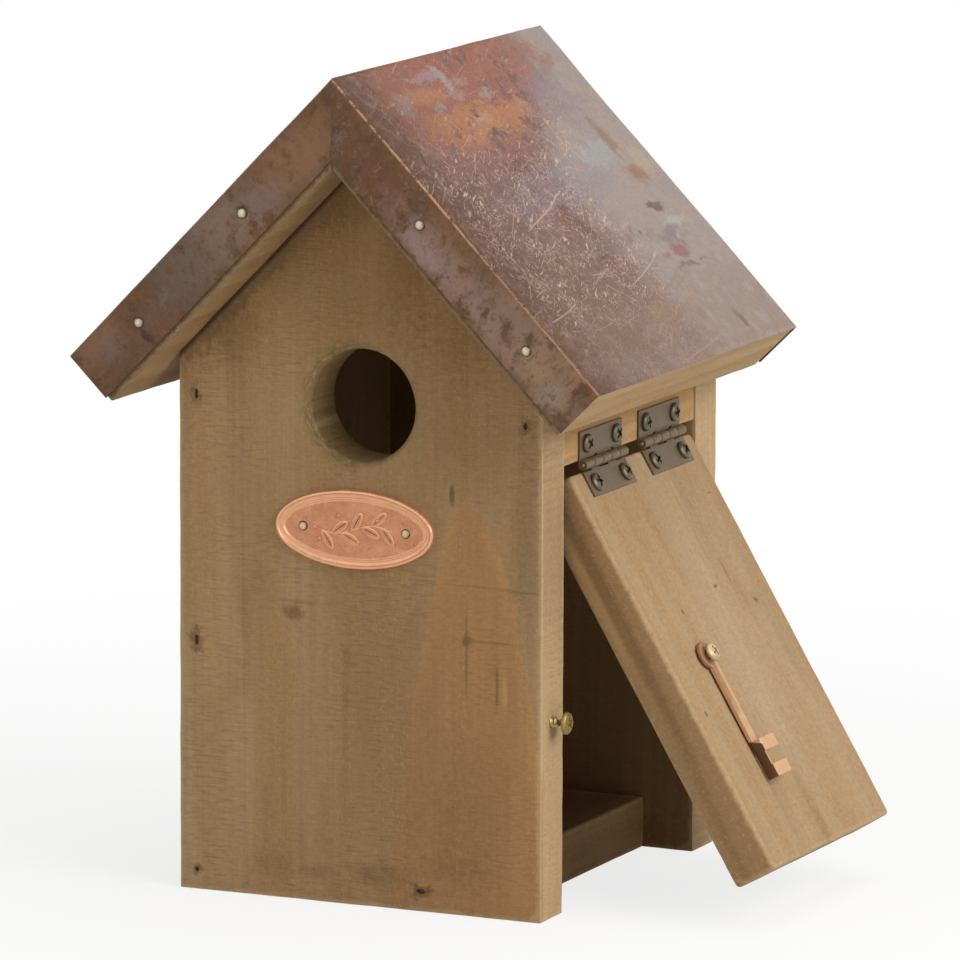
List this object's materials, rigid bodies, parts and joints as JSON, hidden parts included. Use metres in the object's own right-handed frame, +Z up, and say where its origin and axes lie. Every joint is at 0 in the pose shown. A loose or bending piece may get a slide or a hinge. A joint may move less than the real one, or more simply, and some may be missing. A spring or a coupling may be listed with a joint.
{
  "type": "nest box",
  "caption": "Gabled wooden nest box with a round entrance, folded copper roof, side-hinged cleaning door and a key-shaped latch.",
  "frame": {"origin": "middle of the box's flat underside, on the surface that it stands on", "axes": "+X towards the hinged door's side, -Y towards the entrance hole, +Z up"},
  "size_m": [0.2152, 0.1526, 0.2533],
  "materials": {
    "box_wood": "sawn, impregnated",
    "door_wood": "sawn, impregnated",
    "roof_copper": "patinated copper sheet, scratched",
    "bright_copper": "bright copper",
    "brass": "dull brass",
    "steel": "yellowed zinc-plated steel"
  },
  "bodies": {
    "house": {"front_wall": "box_wood", "back_wall": "box_wood", "left_wall": "box_wood", "floor_board": "box_wood", "hinge_rail": "door_wood", "left_roof_board": "box_wood", "right_roof_board": "door_wood", "copper_roof": "roof_copper", "front_roof_nails": "brass", "back_roof_nails": "brass", "plaque": "bright_copper", "plaque_nails": "brass", "front_brads": "steel", "back_brads": "steel", "catch_screw": "brass", "front_hinge_rail_leaf": "steel", "front_hinge_pin": "steel", "rear_hinge_rail_leaf": "steel", "rear_hinge_pin": "steel", "rail_hinge_screws": "steel"},
    "door": {"door": "door_wood", "front_hinge_door_leaf": "steel", "rear_hinge_door_leaf": "steel", "door_hinge_screws": "steel", "key_screw": "brass"},
    "latch": {"key_latch": "bright_copper"}
  },
  "joints": [
    {"name": "door_hinge", "type": "hinge", "parent": "house", "child": "door", "pos_m": [0.0611, 0, 0.13487], "axis": [0, -1, 0], "range_deg": [-30.8, 94.2]},
    {"name": "latch_pivot", "type": "hinge", "parent": "door", "child": "latch", "pos_m": [0.09467, -0.0225, 0.07699], "axis": [-0.859, 0, -0.512], "range_deg": [-280, 60]}
  ]
}
